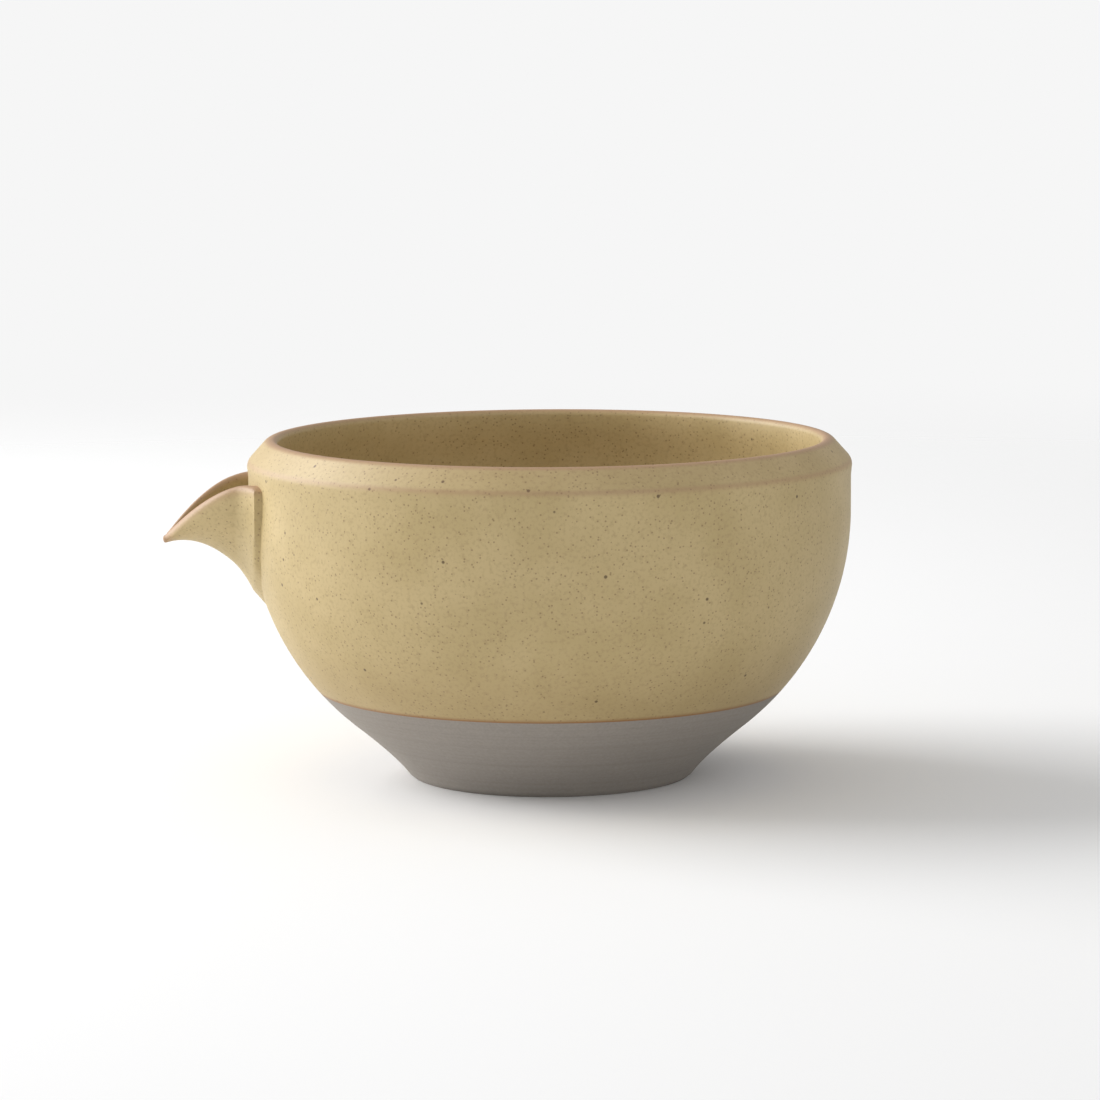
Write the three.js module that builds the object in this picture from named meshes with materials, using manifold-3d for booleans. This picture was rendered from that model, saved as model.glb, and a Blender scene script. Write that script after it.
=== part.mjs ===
// A hand-sized spouted tea bowl in fired stoneware: a thrown body on a turned foot ring, an open
// pouring spout luted over a hole in the wall, and a matt glaze coat inside and out.
// Millimetres, +Z up, the spout towards -X. Profiles are points (r, z) round the bowl's axis.
import * as THREE from "three";
import { mergeVertices } from "three/addons/utils/BufferGeometryUtils.js";
import Module from "manifold-3d";

const wasm = await Module();
wasm.setup();

// Body, outside
const wallRadius = 61.75; // upright part of the wall
const wallThickness = 4;
const bellyTop = 55; // height where the belly curve ends and the wall is upright
const bellyArc = 56; // radius of the belly curve
const bellyLow = 11.3; // height where the belly meets the sweep to the foot
const footSweepHeight = 3.8; // height of the corner that the sweep rounds
const floorHeight = 8.4; // inside floor above the table

// Shoulder and rim
const shoulderBead = 0.2; // the shoulder stands this far proud of the wall
const shoulderRound = 0.8;
const shoulderBlend = 2; // height over which the wall swells to the shoulder
const bevelAngle = 42; // the bevel faces this far above level, in degrees
const rimRadius = 56.9; // crest of the rim
const rimHeight = 69.8;
const crestRound = 2.2;
const lipRound = 1.2; // rounding of the rim's inner edge
const lipReach = 4.6; // how far the lip's inner face runs straight down

// Foot ring
const footRadius = 29;
const footHeight = 4;
const footHollowRadius = 23.5; // recess under the bowl
const footContactInner = 24.5;
const footEdge = 0.6;

// Glaze
const glazeThickness = 0.4;
const glazeLine = 18; // the coat's lower edge on the outside
const glazeFeather = 3; // height over which it thins to nothing
const bondGap = 0.05;

// Pouring hole under the spout's root
const holeHeight = 54;
const holeHalfWidth = 7.5;
const holeHalfHeight = 6.5;

// Spout, measured out from the bowl's axis
const spoutReach = 79.3;
const spoutHalfWidth = 11.9;
const spoutTipHalfWidth = 0.5;
const spoutLip = 62; // height of the lips at the wall
const spoutLipDrop = 12; // the lips fall this far to the tip
const spoutKeel = 41.7; // height of the keel at the wall
const spoutKeelRise = 20.4;
const spoutKeelSag = 13.2;
const spoutWall = 2.6;
const spoutFloor = 2.8;
const spoutTipLength = 3; // solid beyond the end of the channel
const spoutOverlap = 8; // the blank starts this far inside the wall before it is trimmed
const fitGap = 0.3;

const segments = 36;
const degrees = Math.PI / 180;
const at = (r, z) => new THREE.Vector2(r, z);

function arc(centre, radius, from, to, steps) {
  return Array.from({ length: steps + 1 }, (_, i) => {
    const angle = (from + ((to - from) * i) / steps) * degrees;
    return at(centre.x + radius * Math.cos(angle), centre.y + radius * Math.sin(angle));
  });
}

// The sweep from the foot into the belly
const bellyCentre = at(wallRadius - bellyArc, bellyTop);
const bellyAngle = (z) => Math.asin((z - bellyTop) / bellyArc) / degrees;
const bellyFoot = at(bellyCentre.x + bellyArc * Math.cos(bellyAngle(bellyLow) * degrees), bellyLow);
const sweepSlope = Math.tan(-bellyAngle(bellyLow) * degrees);
const sweepCorner = at(bellyFoot.x - (bellyLow - footSweepHeight) * sweepSlope, footSweepHeight);
const sweep = new THREE.QuadraticBezierCurve(at(footRadius, 0), sweepCorner, bellyFoot);

function sweepBetween(low, high, steps) {
  const parameter = (z) => {
    const rise = 2 * footSweepHeight;
    return (2 * z) / (rise + Math.sqrt(rise * rise + 4 * (bellyLow - rise) * z));
  };
  return Array.from({ length: steps + 1 }, (_, i) =>
    sweep.getPoint(THREE.MathUtils.lerp(parameter(low), parameter(high), i / steps)));
}

// The finished skin, up the outside, over the crest and down the inside to the axis
const shoulderRadius = wallRadius + shoulderBead;
const crestCentre = at(rimRadius, rimHeight - crestRound);
const bevelNormal = at(Math.cos(bevelAngle * degrees), Math.sin(bevelAngle * degrees));
const shoulderHeight =
  (bevelNormal.dot(crestCentre) + crestRound - bevelNormal.x * shoulderRadius) / bevelNormal.y;
const innerRadius = wallRadius - wallThickness;
const innerArc = bellyArc - wallThickness;
const lipEdge = at(rimRadius - lipRound, rimHeight - lipRound);
const innerLow = arc(bellyCentre, innerArc, 0, -60, 8);
const innerEnd = innerLow[innerLow.length - 1];
const floorCorner = at(
  innerEnd.x - (innerEnd.y - floorHeight) * Math.tan(60 * degrees), floorHeight);

const outside = [
  ...sweepBetween(footHeight, bellyLow, 3),
  ...arc(bellyCentre, bellyArc, bellyAngle(bellyLow), bellyAngle(glazeLine), 2).slice(1),
];
const lineIndex = outside.length - 1;
outside.push(
  ...arc(bellyCentre, bellyArc, bellyAngle(glazeLine), bellyAngle(glazeLine + glazeFeather), 1).slice(1),
  ...arc(bellyCentre, bellyArc, bellyAngle(glazeLine + glazeFeather), 0, 7).slice(1),
  at(wallRadius, shoulderHeight - shoulderBlend),
  at(shoulderRadius, shoulderHeight - shoulderRound),
  at(shoulderRadius - bevelNormal.y * shoulderRound, shoulderHeight + bevelNormal.x * shoulderRound),
  ...arc(crestCentre, crestRound, bevelAngle, 90, 3),
);
const crestIndex = outside.length - 1;
const inside = [
  ...arc(at(rimRadius, rimHeight - lipRound), lipRound, 90, 180, 3).slice(1),
  ...new THREE.CubicBezierCurve(
    lipEdge, at(lipEdge.x, lipEdge.y - lipReach), at(innerRadius, bellyTop + 6),
    at(innerRadius, bellyTop)).getPoints(4).slice(1),
  ...innerLow.slice(1),
  ...new THREE.QuadraticBezierCurve(innerEnd, floorCorner, at(0, floorHeight)).getPoints(3).slice(1),
];
const skin = [...outside, ...inside];

// How far the clay lies under the skin at each point
const coat = skin.map((p, i) =>
  i > crestIndex
    ? glazeThickness
    : glazeThickness * THREE.MathUtils.clamp((p.y - glazeLine) / glazeFeather, 0, 1));

// The skin moved into the clay by the depth given for each point, with its facets kept parallel
function sunk(depth) {
  const normal = (i) => {
    const along = skin[i + 1].clone().sub(skin[i]).normalize();
    return at(-along.y, along.x);
  };
  return skin.map((p, i) => {
    const before = normal(Math.max(i - 1, 0));
    const after = normal(Math.min(i, skin.length - 2));
    const middle = before.clone().add(after).normalize();
    const moved = p.clone().addScaledVector(middle, depth[i] / middle.dot(after));
    return at(i === skin.length - 1 ? 0 : moved.x, moved.y);
  });
}
const clay = sunk(coat);
const coatBack = sunk(coat.map((depth) => depth * (1 - bondGap / glazeThickness)));

// A closed solid from a three.js geometry, with its faces turned out
function solid(geometry) {
  const bare = geometry.clone();
  bare.deleteAttribute("normal");
  bare.deleteAttribute("uv");
  const merged = mergeVertices(bare);
  const position = merged.getAttribute("position");
  const index = merged.getIndex().array;
  const triangles = [];
  const [p, q, r] = [new THREE.Vector3(), new THREE.Vector3(), new THREE.Vector3()];
  let volume = 0;
  for (let i = 0; i < index.length; i += 3) {
    const [a, b, c] = index.slice(i, i + 3);
    if (a === b || b === c || c === a) continue;
    triangles.push(a, b, c);
    p.fromBufferAttribute(position, a);
    q.fromBufferAttribute(position, b);
    r.fromBufferAttribute(position, c);
    volume += p.dot(q.cross(r));
  }
  if (volume < 0) triangles.reverse();
  return new wasm.Manifold(new wasm.Mesh({
    numProp: 3,
    vertProperties: new Float32Array(position.array),
    triVerts: new Uint32Array(triangles),
  }));
}

const turned = (profile) => solid(new THREE.LatheGeometry(profile, segments).rotateX(Math.PI / 2));

// A solid through rings of equal length, each a flat-topped section of the spout
function loft(rings) {
  const size = rings[0].length;
  const index = [];
  for (let k = 0; k + 1 < rings.length; k++) {
    for (let i = 0; i < size; i++) {
      const [a, b] = [k * size + i, k * size + ((i + 1) % size)];
      const [c, d] = [a + size, b + size];
      index.push(a, d, b, a, c, d);
    }
  }
  const last = (rings.length - 1) * size;
  for (let i = 1; i + 1 < size; i++) {
    index.push(0, i, i + 1);
    index.push(last, last + i + 1, last + i);
  }
  const geometry = new THREE.BufferGeometry().setFromPoints(rings.flat());
  geometry.setIndex(index);
  return solid(geometry);
}

// One section of the spout at a distance out from the axis, made thinner and raised for the channel
function section(distance, side, floor, rise) {
  const out = (distance - shoulderRadius) / (spoutReach - shoulderRadius);
  const ahead = Math.max(out, 0);
  const width = Math.max(
    spoutTipHalfWidth + spoutHalfWidth * (1 - Math.min(ahead, 1) ** 1.7) - side, 0.3);
  const lip = spoutLip - spoutLipDrop * ahead ** 1.75;
  const keel = spoutKeel + spoutKeelRise * out - spoutKeelSag * ahead ** 2 + floor;
  const half = [1, 0.8, 0.6, 0.4, 0.2, 0.07].map((q) =>
    at(width * Math.sin((Math.PI / 2) * q ** 0.75), keel + (lip - keel) * q));
  if (rise > 0) half.unshift(at(width, lip + rise));
  return [
    ...half.map((p) => new THREE.Vector3(-distance, -p.x, p.y)),
    new THREE.Vector3(-distance, 0, keel),
    ...half.reverse().map((p) => new THREE.Vector3(-distance, p.x, p.y)),
  ];
}

function spoutLoft(from, to, steps, side, floor, rise) {
  return loft(Array.from({ length: steps + 1 }, (_, i) =>
    section(THREE.MathUtils.lerp(from, to, i / steps), side, floor, rise)));
}

// The bowl's outer form with the running gap that the spout's root keeps to it
const bowlForm = turned([
  at(0, footHeight),
  ...sunk(skin.map(() => -fitGap)).slice(0, crestIndex + 1),
  at(0, rimHeight + fitGap),
]);
const rootStart = shoulderRadius - spoutOverlap;
const channelEnd = spoutReach - spoutTipLength;
const blank = spoutLoft(rootStart, spoutReach, 10, 0, 0, 0);
const channel = spoutLoft(rootStart - wallThickness, channelEnd, 9, spoutWall, spoutFloor, spoutLip / 10);
const spoutBody = blank.subtract(channel).subtract(bowlForm);

const hole = solid(
  new THREE.CylinderGeometry(1, 1, 5 * wallThickness, 28)
    .rotateZ(Math.PI / 2)
    .scale(1, holeHalfWidth, holeHalfHeight)
    .translate(-wallRadius, 0, holeHeight));

const bowlBody = turned([at(0, footHeight), ...clay]).subtract(hole);
const outerCoat = turned([
  ...skin.slice(lineIndex, crestIndex + 1),
  ...coatBack.slice(lineIndex, crestIndex + 1).reverse(),
]).subtract(hole);
const innerCoat = turned([
  ...skin.slice(crestIndex),
  ...coatBack.slice(crestIndex).reverse(),
  skin[crestIndex],
]).subtract(hole);
const footBody = turned([
  at(footContactInner, 0),
  at(footRadius - footEdge, 0),
  ...sweepBetween(footEdge, footHeight, 3),
  at(footHollowRadius, footHeight),
  at(footContactInner, 0),
]);

const bareStoneware = new THREE.MeshStandardMaterial({ color: 0x8a8075, roughness: 0.9, metalness: 0 });
const khakiGlaze = new THREE.MeshStandardMaterial({ color: 0xb09a70, roughness: 0.6, metalness: 0 });

function piece(name, body, material) {
  const { vertProperties, triVerts } = body.getMesh();
  const geometry = new THREE.BufferGeometry();
  geometry.setAttribute("position", new THREE.BufferAttribute(Float32Array.from(vertProperties), 3));
  geometry.setIndex(new THREE.BufferAttribute(Uint32Array.from(triVerts), 1));
  geometry.computeVertexNormals();
  const mesh = new THREE.Mesh(geometry, material);
  mesh.name = name;
  return mesh;
}

// The origin is on the table under the middle of the bowl and its spout together
const bowl = new THREE.Group();
bowl.position.x = (spoutReach - shoulderRadius) / 2;
bowl.add(
  piece("bowl_body", bowlBody, bareStoneware),
  piece("foot_ring", footBody, bareStoneware),
  piece("outer_glaze", outerCoat, khakiGlaze),
  piece("inner_glaze", innerCoat, khakiGlaze),
  piece("spout", spoutBody, khakiGlaze),
);

export default bowl;
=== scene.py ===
import math
import bpy
from mathutils import Matrix, Vector


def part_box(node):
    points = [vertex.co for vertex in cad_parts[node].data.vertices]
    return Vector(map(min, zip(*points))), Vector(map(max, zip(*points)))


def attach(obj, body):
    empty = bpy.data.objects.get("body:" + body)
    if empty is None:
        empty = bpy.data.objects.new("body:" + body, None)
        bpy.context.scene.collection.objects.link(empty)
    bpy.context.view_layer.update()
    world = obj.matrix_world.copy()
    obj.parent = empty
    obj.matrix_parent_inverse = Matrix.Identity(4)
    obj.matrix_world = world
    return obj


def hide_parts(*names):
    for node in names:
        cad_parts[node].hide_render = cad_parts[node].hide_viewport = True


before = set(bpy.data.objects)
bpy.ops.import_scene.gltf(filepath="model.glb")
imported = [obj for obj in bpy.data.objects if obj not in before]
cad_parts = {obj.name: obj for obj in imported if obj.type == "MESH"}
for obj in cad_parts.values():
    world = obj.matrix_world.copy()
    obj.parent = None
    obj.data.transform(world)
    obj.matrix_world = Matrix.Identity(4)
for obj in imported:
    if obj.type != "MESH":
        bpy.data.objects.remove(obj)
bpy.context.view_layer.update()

MM = 0.001
TURNS = 240

# The bowl's axis is that of its foot ring in the frame
foot_low, foot_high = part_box("foot_ring")
AXIS_X = (foot_low[0] + foot_high[0]) / 2

# Wall and belly, in millimetres from the axis and above the table
WALL_R = 61.75
WALL_THICK = 4.0
BELLY_TOP = 55.0
BELLY_ARC = 56.0
BELLY_LOW = 11.3
SWEEP_HIGH = 3.8
FLOOR_HIGH = 8.4
FLOOR_ANGLE = math.radians(60)

# Shoulder and rim, in millimetres
SHOULDER_BEAD = 0.2
SHOULDER_R = WALL_R + SHOULDER_BEAD
BEVEL = math.radians(42)
RIM_R = 56.9
RIM_HIGH = 69.8
CREST_ROUND = 2.2
LIP_ROUND = 1.2

# Foot, in millimetres
FOOT_R = 29.0
FOOT_HIGH = 4.0
FOOT_EDGE = 0.6
FOOT_HOLLOW_R = 23.5
FOOT_OUTER_EDGE_R = 28.4
FOOT_INNER_EDGE_R = 24.9

# Glaze coat, in millimetres
GLAZE_THICK = 0.4
GLAZE_LINE = 18.0
GLAZE_FEATHER = 3
GLAZE_BACK = 0.875

# Pouring hole through the wall, in millimetres
HOLE_HIGH = 54
HOLE_HALF_WIDE = 7.5
HOLE_HALF_HIGH = 6.5
HOLE_LONG = 20

# Spout, in millimetres
SPOUT_ROOT = 58.5
SPOUT_REACH = 79.3
SPOUT_RINGS = 56
LIP_HALF_WIDE = 11.9
TIP_HALF_WIDE = 0.5
TIP_BLUNT = 0.5
LIP_HIGH = 62
LIP_DROP = 12
KEEL_HIGH = 41.7
KEEL_RISE = 20.4
KEEL_SAG = 13.2
SPOUT_WALL = 2.6
SPOUT_BED = 2.8

# Slip smoothed into the corner between spout and wall, in millimetres
SLIP_WIDE = 4.5
SLIP_START = 61
SLIP_LONG = 4
SLIP_UNDER = 0.35


def arc(cx, cz, radius, start, end, steps):
    angles = [start + (end - start) * i / steps for i in range(steps + 1)]
    return [(cx + radius * math.cos(a), cz + radius * math.sin(a)) for a in angles]


def bezier(points, steps):
    line = []
    for i in range(steps + 1):
        t = i / steps
        row = list(points)
        while len(row) > 1:
            row = [(a[0] + (b[0] - a[0]) * t, a[1] + (b[1] - a[1]) * t) for a, b in zip(row, row[1:])]
        line.append(row[0])
    return line


def outside_skin():
    """The finished outside as (r, z), from the table up to the crest of the rim."""
    centre = WALL_R - BELLY_ARC
    low = -math.asin((BELLY_TOP - BELLY_LOW) / BELLY_ARC)
    belly_foot = (centre + BELLY_ARC * math.cos(low), BELLY_LOW)
    corner = (belly_foot[0] - (BELLY_LOW - SWEEP_HIGH) * math.tan(-low), SWEEP_HIGH)
    out_r, up = math.cos(BEVEL), math.sin(BEVEL)
    crest_z = RIM_HIGH - CREST_ROUND
    shoulder_z = (out_r * RIM_R + up * crest_z + CREST_ROUND - out_r * SHOULDER_R) / up
    line = bezier([(FOOT_R, 0), corner, belly_foot], 24)
    line += arc(centre, BELLY_TOP, BELLY_ARC, low, 0, 60)[1:]
    line += [(WALL_R, shoulder_z - 3), (WALL_R + SHOULDER_BEAD / 2, shoulder_z - 2)]
    line += bezier([(SHOULDER_R, shoulder_z - 1), (SHOULDER_R, shoulder_z),
                    (SHOULDER_R - up, shoulder_z + out_r)], 8)
    return line + arc(RIM_R, crest_z, CREST_ROUND, BEVEL, math.pi / 2, 10)


def inside_skin():
    """The finished inside as (r, z), from the crest down to the axis at the floor."""
    centre = WALL_R - BELLY_ARC
    inner = (WALL_R - WALL_THICK, BELLY_TOP)
    lip = (RIM_R - LIP_ROUND, RIM_HIGH - LIP_ROUND)
    line = arc(RIM_R, RIM_HIGH - LIP_ROUND, LIP_ROUND, math.pi / 2, math.pi, 10)[1:]
    line += bezier([lip, (lip[0], 64.0), (inner[0], 61.0), inner], 14)[1:]
    line += arc(centre, BELLY_TOP, BELLY_ARC - WALL_THICK, 0, -FLOOR_ANGLE, 50)[1:]
    end = line[-1]
    corner = (end[0] - (end[1] - FLOOR_HIGH) * math.tan(FLOOR_ANGLE), FLOOR_HIGH)
    return line + bezier([end, corner, (0, FLOOR_HIGH)], 12)[1:]


def sunk(line, depth):
    """The line moved into the clay by each point's own depth."""
    moved = []
    for i, (r, z) in enumerate(line):
        a = line[max(i - 1, 0)]
        b = line[min(i + 1, len(line) - 1)]
        length = math.hypot(b[0] - a[0], b[1] - a[1])
        moved.append((r - (b[1] - a[1]) / length * depth[i], z + (b[0] - a[0]) / length * depth[i]))
    moved[-1] = (0, moved[-1][1])
    return moved


def close_up(obj, merge=1e-6):
    """Joins doubled points and turns the faces out."""
    bpy.context.view_layer.objects.active = obj
    bpy.ops.object.mode_set(mode="EDIT")
    bpy.ops.mesh.select_all(action="SELECT")
    bpy.ops.mesh.remove_doubles(threshold=merge)
    bpy.ops.mesh.normals_make_consistent(inside=False)
    bpy.ops.object.mode_set(mode="OBJECT")


def thrown(name, profile):
    """A closed profile turned round the bowl's axis, as on the wheel."""
    bpy.ops.mesh.primitive_circle_add(vertices=len(profile), fill_type="NOTHING")
    obj = bpy.context.object
    obj.name = name
    for vertex, (r, z) in zip(obj.data.vertices, profile):
        vertex.co = (r * MM, 0, z * MM)
    turn = obj.modifiers.new("turn", "SCREW")
    turn.axis = "Z"
    turn.steps = TURNS
    turn.render_steps = TURNS
    turn.use_merge_vertices = True
    bpy.ops.object.modifier_apply(modifier=turn.name)
    obj.data.transform(Matrix.Translation((AXIS_X, 0, 0)))
    close_up(obj)
    return obj


def bore_pouring_hole(*pieces):
    """Cuts the ellipse through the wall behind the spout."""
    bpy.ops.mesh.primitive_cylinder_add(vertices=64, radius=1, depth=1)
    hole = bpy.context.object
    size = Matrix.Diagonal((HOLE_LONG * MM, HOLE_HALF_WIDE * MM, HOLE_HALF_HIGH * MM, 1))
    place = Matrix.Translation((AXIS_X - WALL_R * MM, 0, HOLE_HIGH * MM))
    hole.data.transform(place @ size @ Matrix.Rotation(math.pi / 2, 4, "Y"))
    for piece in pieces:
        cut = piece.modifiers.new("cut", "BOOLEAN")
        cut.operation = "DIFFERENCE"
        cut.solver = "EXACT"
        cut.object = hole
        bpy.context.view_layer.objects.active = piece
        bpy.ops.object.modifier_apply(modifier=cut.name)
    bpy.data.objects.remove(hole)


def smooth(obj, angle):
    bpy.ops.object.select_all(action="DESELECT")
    obj.select_set(True)
    bpy.context.view_layer.objects.active = obj
    bpy.ops.object.shade_smooth_by_angle(angle=math.radians(angle))


def thin_at(obj, amount):
    """Where the glaze runs thin, from 0 to 1, kept on the mesh for its material."""
    layer = obj.data.attributes.new("thin", "FLOAT", "POINT")
    for vertex, value in zip(obj.data.vertices, layer.data):
        value.value = amount(vertex.co)


# Thrown body, glaze coat and turned foot
outside = outside_skin()
crest = len(outside) - 1
skin = outside + inside_skin()
coat = [GLAZE_THICK if i > crest else GLAZE_THICK * min(max((z - GLAZE_LINE) / GLAZE_FEATHER, 0), 1)
        for i, (r, z) in enumerate(skin)]
clay = sunk(skin, coat)
back = sunk(skin, [depth * GLAZE_BACK for depth in coat])

above = [i for i, (r, z) in enumerate(skin) if i > crest or z > FOOT_HIGH]
under, over = skin[above[0] - 1], skin[above[0]]
share = (FOOT_HIGH - under[1]) / (over[1] - under[1])
joint = (under[0] + (over[0] - under[0]) * share, FOOT_HIGH)
body = thrown("thrown_body", [(0, FOOT_HIGH), joint] + [clay[i] for i in above])

glazed = [i for i, (r, z) in enumerate(skin) if i > crest or z >= GLAZE_LINE]
glaze = thrown("glaze_coat", [skin[i] for i in glazed] + [back[i] for i in reversed(glazed)])
bore_pouring_hole(body, glaze)

outer_edge = arc(FOOT_OUTER_EDGE_R, FOOT_EDGE, FOOT_EDGE, -math.pi / 2, -math.radians(20), 5)
inner_edge = arc(FOOT_INNER_EDGE_R, FOOT_EDGE, FOOT_EDGE, -math.pi * 0.95, -math.pi / 2, 5)
foot_side = [(r, z) for r, z in outside if FOOT_EDGE <= z < FOOT_HIGH]
foot = thrown("turned_foot", outer_edge + foot_side + [joint, (FOOT_HOLLOW_R, FOOT_HIGH)] + inner_edge)


def spout_form(s):
    """The spout's half-width, lip height and keel height at s from the bowl's axis."""
    u = (s - SHOULDER_R) / (SPOUT_REACH - SHOULDER_R)
    out = min(max(u, 0), 1)
    wide = TIP_HALF_WIDE + LIP_HALF_WIDE * (1 - out ** 1.7)
    lip = LIP_HIGH - LIP_DROP * out ** 1.75
    keel = KEEL_HIGH + KEEL_RISE * u - KEEL_SAG * out ** 2
    return wide, lip, keel


def spout_side(half, low, high, steps):
    """One side of a section from its lowest point up, as (y, z)."""
    return [(half * math.sin(math.pi / 2 * (i / steps) ** 0.75), low + (high - low) * i / steps)
            for i in range(steps + 1)]


def spout_ring(s):
    """One section across the spout: over the outside by the keel, round a lip and back inside."""
    wide, lip, keel = spout_form(s)
    slip = SLIP_WIDE * (1 - min(max((s - SLIP_START) / SLIP_LONG, 0), 1)) ** 2
    inner = max(wide - SPOUT_WALL, 0.06)
    bed = min(keel + SPOUT_BED, lip - 0.12)
    side = lip - min((wide - inner) / 2, (lip - keel) * 0.5)
    outer = [(0, keel - SLIP_UNDER * slip)]
    for y, z in spout_side(wide, keel, side, 22)[1:]:
        widened = y + slip * min(1, (z - keel) / 6 + 0.15)
        lowered = z - SLIP_UNDER * slip * (1 - min(1, (z - keel) / 8))
        outer.append((widened, lowered))
    centre = (outer[-1][0] + inner) / 2
    half = outer[-1][0] - centre
    lip_round = [(centre + half * math.cos(a), side + (lip - side) * math.sin(a))
                 for a in (math.pi * k / 12 for k in range(1, 12))]
    channel = spout_side(inner, bed, max(side, bed), 18)
    right = outer[1:] + lip_round + channel[:0:-1]
    loop = [outer[0]] + right + [channel[0]] + [(-y, z) for y, z in reversed(right)]
    return [(AXIS_X - s * MM, y * MM, z * MM) for y, z in loop]


def rounded_tip(ring):
    """Three shrinking copies of the last section, which round the tip."""
    points = [Vector(p) for p in ring]
    middle = sum(points, Vector()) / len(points)
    for a in (k * math.pi / 7 for k in (1, 2, 3)):
        ahead = Vector((TIP_BLUNT * MM * math.sin(a), 0, 0))
        yield [tuple(middle + (p - middle) * math.cos(a) - ahead) for p in points]


def pouring_spout():
    """The open beak. Its section changes all along, so it is lofted from a formula."""
    length = SPOUT_REACH - TIP_BLUNT - SPOUT_ROOT
    stops = [SPOUT_ROOT + length * (1 - (1 - i / SPOUT_RINGS) ** 1.4) for i in range(SPOUT_RINGS + 1)]
    rings = [spout_ring(s) for s in stops]
    rings += list(rounded_tip(rings[-1]))
    count = len(rings[0])
    verts = [p for ring in rings for p in ring]
    faces = []
    for k in range(len(rings) - 1):
        for i in range(count):
            a, b = k * count + i, k * count + (i + 1) % count
            faces.append((a, b, b + count, a + count))
    faces.append(tuple(range(count)))
    faces.append(tuple(reversed(range(len(verts) - count, len(verts)))))
    mesh = bpy.data.meshes.new("pouring_spout")
    mesh.from_pydata(verts, [], faces)
    obj = bpy.data.objects.new("pouring_spout", mesh)
    bpy.context.collection.objects.link(obj)
    close_up(obj, 1e-7)
    return obj


spout = pouring_spout()


def near(distance, width):
    """1 at a line, falling to nothing a few widths away from it."""
    return math.exp(-(distance / width) ** 2)


def coat_thin(co):
    """Glaze draws back from the crest of the rim, and a little from the shoulder's edge."""
    z = co.z / MM
    r = math.hypot(co.x - AXIS_X, co.y) / MM
    on_crest = near(z - RIM_HIGH, 0.55) if z > 66 else 0
    on_shoulder = near(z - 65.3, 0.6) * 0.55 if r > 61.2 else 0
    return max(on_crest, on_shoulder)


def spout_thin(co):
    """Glaze draws back from the spout's lips and tip."""
    s = (AXIS_X - co.x) / MM
    lip = spout_form(s)[1]
    return max(near(lip - co.z / MM, 1.3), near(SPOUT_REACH - s, 2.0))


thin_at(glaze, coat_thin)
thin_at(spout, spout_thin)
for piece, angle in ((body, 40), (glaze, 40), (foot, 40), (spout, 50)):
    smooth(piece, angle)


def linear(code):
    """An sRGB hex colour as linear RGBA."""
    parts = [int(code[i:i + 2], 16) / 255 for i in (1, 3, 5)]
    return tuple(c / 12.92 if c <= 0.04045 else ((c + 0.055) / 1.055) ** 2.4 for c in parts) + (1.0,)


def node(tree, kind, values=None, **settings):
    """Adds a node, sets its properties, then fills or links its inputs."""
    made = tree.nodes.new(kind)
    for key, value in settings.items():
        setattr(made, key, value)
    for key, value in (values or {}).items():
        if isinstance(value, bpy.types.NodeSocket):
            tree.links.new(value, made.inputs[key])
        else:
            made.inputs[key].default_value = value
    return made


def new_material(name):
    material = bpy.data.materials.new(name)
    material.use_nodes = True
    tree = material.node_tree
    return material, tree, tree.nodes["Principled BSDF"]


def mix(tree, amount, a, b):
    return node(tree, "ShaderNodeMix", {0: amount, 6: a, 7: b}, data_type="RGBA").outputs[2]


def ramp(tree, value, low, high, to_low=0.0, to_high=1.0):
    ends = {"From Min": low, "From Max": high, "To Min": to_low, "To Max": to_high}
    made = node(tree, "ShaderNodeMapRange", {"Value": value, **ends}, interpolation_type="SMOOTHSTEP")
    return made.outputs["Result"]


def times(tree, a, b):
    return node(tree, "ShaderNodeMath", {0: a, 1: b}, operation="MULTIPLY").outputs[0]


def noise(tree, place, size_mm, detail):
    """Cloudy noise whose lumps are about size_mm across."""
    return node(tree, "ShaderNodeTexNoise",
                {"Vector": place, "Scale": 1 / (size_mm * MM), "Detail": detail}).outputs[0]


def specks(tree, place, cell_mm, size, keep):
    """Small round spots, one in some of the cells of a random pattern."""
    cells = node(tree, "ShaderNodeTexVoronoi", {"Vector": place, "Scale": 1 / (cell_mm * MM)})
    tone = node(tree, "ShaderNodeSeparateColor", {0: cells.outputs["Color"]})
    spot = ramp(tree, cells.outputs["Distance"], size, size * 0.5)
    return times(tree, spot, ramp(tree, tone.outputs[0], 1 - keep, 1 - keep + 0.1))


def roughen(tree, shader, height, strength, deep_mm):
    bump = node(tree, "ShaderNodeBump", {"Height": height, "Strength": strength, "Distance": deep_mm * MM})
    tree.links.new(bump.outputs[0], shader.inputs["Normal"])


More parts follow.
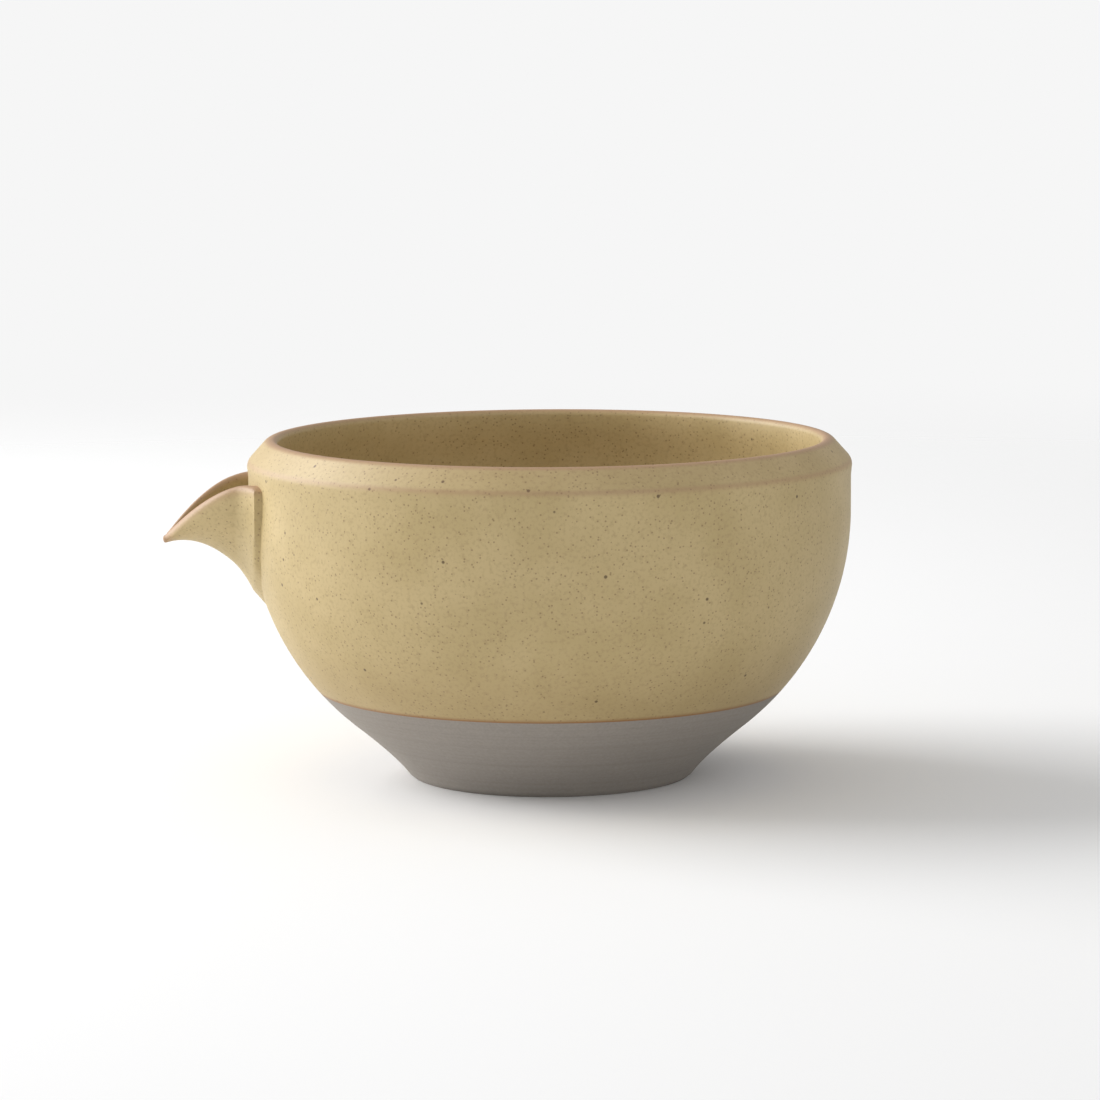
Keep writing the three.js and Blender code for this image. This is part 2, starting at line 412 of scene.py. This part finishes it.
def khaki_glaze():
    """Matt khaki stoneware glaze over an iron-bearing clay. Iron bleeds through it as fine brown
    specks about 0.4 mm across and a few dark spots near 0.9 mm. It looks soft and dry, darkens
    towards its lower edge, ends there in a thin orange-brown line, and runs thin and pinkish
    brown on the rim's crest and the spout's lips. The shader's own IOR of 1.5 suits a glaze."""
    material, tree, shader = new_material("khaki_glaze")
    place = node(tree, "ShaderNodeTexCoord").outputs["Object"]
    height = node(tree, "ShaderNodeSeparateXYZ", {0: place}).outputs[2]
    thin = node(tree, "ShaderNodeAttribute", attribute_name="thin").outputs["Fac"]
    cloud = noise(tree, place, 14, 4.0)
    grain = noise(tree, place, 0.7, 3.0)
    colour = mix(tree, ramp(tree, cloud, 0.3, 0.7), linear("#B7A272"), linear("#C1AC7D"))
    colour = mix(tree, ramp(tree, grain, 0.45, 0.75, 0, 0.4), colour, linear("#9C845C"))
    low_wall = ramp(tree, height, 36 * MM, 19 * MM)
    colour = mix(tree, times(tree, low_wall, 0.35), colour, linear("#A0875A"))
    fine = specks(tree, place, 0.8, 0.30, 0.55)
    colour = mix(tree, times(tree, fine, 0.55), colour, linear("#6E5433"))
    spots = specks(tree, place, 5.0, 0.09, 0.5)
    colour = mix(tree, times(tree, spots, 0.8), colour, linear("#4A3420"))
    colour = mix(tree, times(tree, thin, 0.75), colour, linear("#A37C62"))
    edge = ramp(tree, height, 19.2 * MM, 18.1 * MM)
    colour = mix(tree, edge, colour, linear("#8F6136"))
    tree.links.new(colour, shader.inputs["Base Color"])
    shader.inputs["Roughness"].default_value = 0.5
    shader.inputs["Specular IOR Level"].default_value = 0.45
    roughen(tree, shader, grain, 0.25, 0.06)
    return material


def bare_stoneware():
    """Unglazed grey-brown stoneware, turned with a tool. It is dry and matt, with a fine grain
    and faint level lines nearly a millimetre apart where the tool passed."""
    material, tree, shader = new_material("bare_stoneware")
    place = node(tree, "ShaderNodeTexCoord").outputs["Object"]
    height = node(tree, "ShaderNodeSeparateXYZ", {0: place}).outputs[2]
    level = node(tree, "ShaderNodeCombineXYZ", {2: height}).outputs[0]
    grain = noise(tree, place, 0.6, 4.0)
    lines = noise(tree, level, 0.9, 2.0)
    colour = mix(tree, grain, linear("#8C857D"), linear("#A19A92"))
    colour = mix(tree, ramp(tree, lines, 0.4, 0.7, 0, 0.25), colour, linear("#807971"))
    tree.links.new(colour, shader.inputs["Base Color"])
    shader.inputs["Roughness"].default_value = 0.8
    roughen(tree, shader, lines, 0.3, 0.08)
    return material


def pale_paper():
    """Matt white paper that fades into the white background away from the bowl."""
    material, tree, shader = new_material("pale_floor")
    shader.inputs["Base Color"].default_value = linear("#F2F2F2")
    shader.inputs["Roughness"].default_value = 0.9
    place = node(tree, "ShaderNodeTexCoord").outputs["Object"]
    away = node(tree, "ShaderNodeVectorMath", {0: place}, operation="LENGTH").outputs["Value"]
    clear = node(tree, "ShaderNodeBsdfTransparent").outputs[0]
    fade = node(tree, "ShaderNodeMixShader", {0: ramp(tree, away, 0.22, 0.9), 1: shader.outputs[0], 2: clear})
    tree.links.new(fade.outputs[0], tree.nodes["Material Output"].inputs["Surface"])
    return material


def finish_piece(piece, material, slot, *nodes):
    """Gives a piece its material, hangs it on the root body and hides the CAD nodes it stands for."""
    piece.data.materials.clear()
    piece.data.materials.append(material)
    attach(piece, "root")
    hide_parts(*nodes)


khaki = khaki_glaze()
bare = bare_stoneware()
finish_piece(body, bare, "bare_stoneware", "bowl_body")
finish_piece(foot, bare, "bare_stoneware", "foot_ring")
finish_piece(glaze, khaki, "khaki_glaze", "outer_glaze", "inner_glaze")
finish_piece(spout, khaki, "khaki_glaze", "spout")

bpy.ops.mesh.primitive_plane_add(size=4, location=(AXIS_X, 0, 0))
floor = bpy.context.object
floor.name = "floor"
floor.data.materials.append(pale_paper())


def white_room(scene):
    """White surroundings: plain white to the camera, and softer as light."""
    world = bpy.data.worlds.new("white_room")
    scene.world = world
    world.use_nodes = True
    tree = world.node_tree
    tree.nodes.clear()
    path = node(tree, "ShaderNodeLightPath").outputs
    seen = node(tree, "ShaderNodeMath", {0: path["Is Camera Ray"], 1: path["Is Transmission Ray"]},
                operation="MAXIMUM").outputs[0]
    light = node(tree, "ShaderNodeBackground", {"Color": (1, 1, 1, 1), "Strength": 0.57}).outputs[0]
    white = node(tree, "ShaderNodeBackground", {"Color": linear("#F6F6F6"), "Strength": 1.0}).outputs[0]
    both = node(tree, "ShaderNodeMixShader", {0: seen, 1: light, 2: white}).outputs[0]
    node(tree, "ShaderNodeOutputWorld", {"Surface": both})


def lamp(name, place, size, power):
    """A square soft light that faces the middle of the bowl."""
    bpy.ops.object.light_add(type="AREA", location=place)
    made = bpy.context.object
    made.name = name
    made.data.size = size
    made.data.energy = power
    towards = Vector((0.0, 0.0, 35 * MM)) - Vector(place)
    made.rotation_euler = towards.to_track_quat("-Z", "Y").to_euler()


def camera_as_photographed(scene):
    """The camera fitted to the photograph, in metres: its spout side is turned 5 degrees nearer."""
    away, high = 0.919, 0.166
    turn, pitch, roll = math.radians(5), math.radians(7.42), -0.0047
    camera = bpy.data.objects.new("camera", bpy.data.cameras.new("camera"))
    scene.collection.objects.link(camera)
    camera.data.sensor_width = 36
    camera.data.lens = 147.4
    camera.data.clip_start = 0.01
    camera.data.clip_end = 50
    place = Matrix.Translation((AXIS_X - math.sin(turn) * away, -math.cos(turn) * away, high))
    tilt = Matrix.Rotation(math.pi / 2 - pitch, 4, "X")
    camera.matrix_world = place @ Matrix.Rotation(-turn, 4, "Z") @ tilt @ Matrix.Rotation(roll, 4, "Z")
    scene.camera = camera


scene = bpy.context.scene
white_room(scene)
lamp("window", (-0.95, 0.42, 0.55), 1.0, 19)
lamp("soft_front", (0.5, -1.2, 0.9), 1.2, 2.5)
camera_as_photographed(scene)
scene.view_settings.view_transform = "Standard"
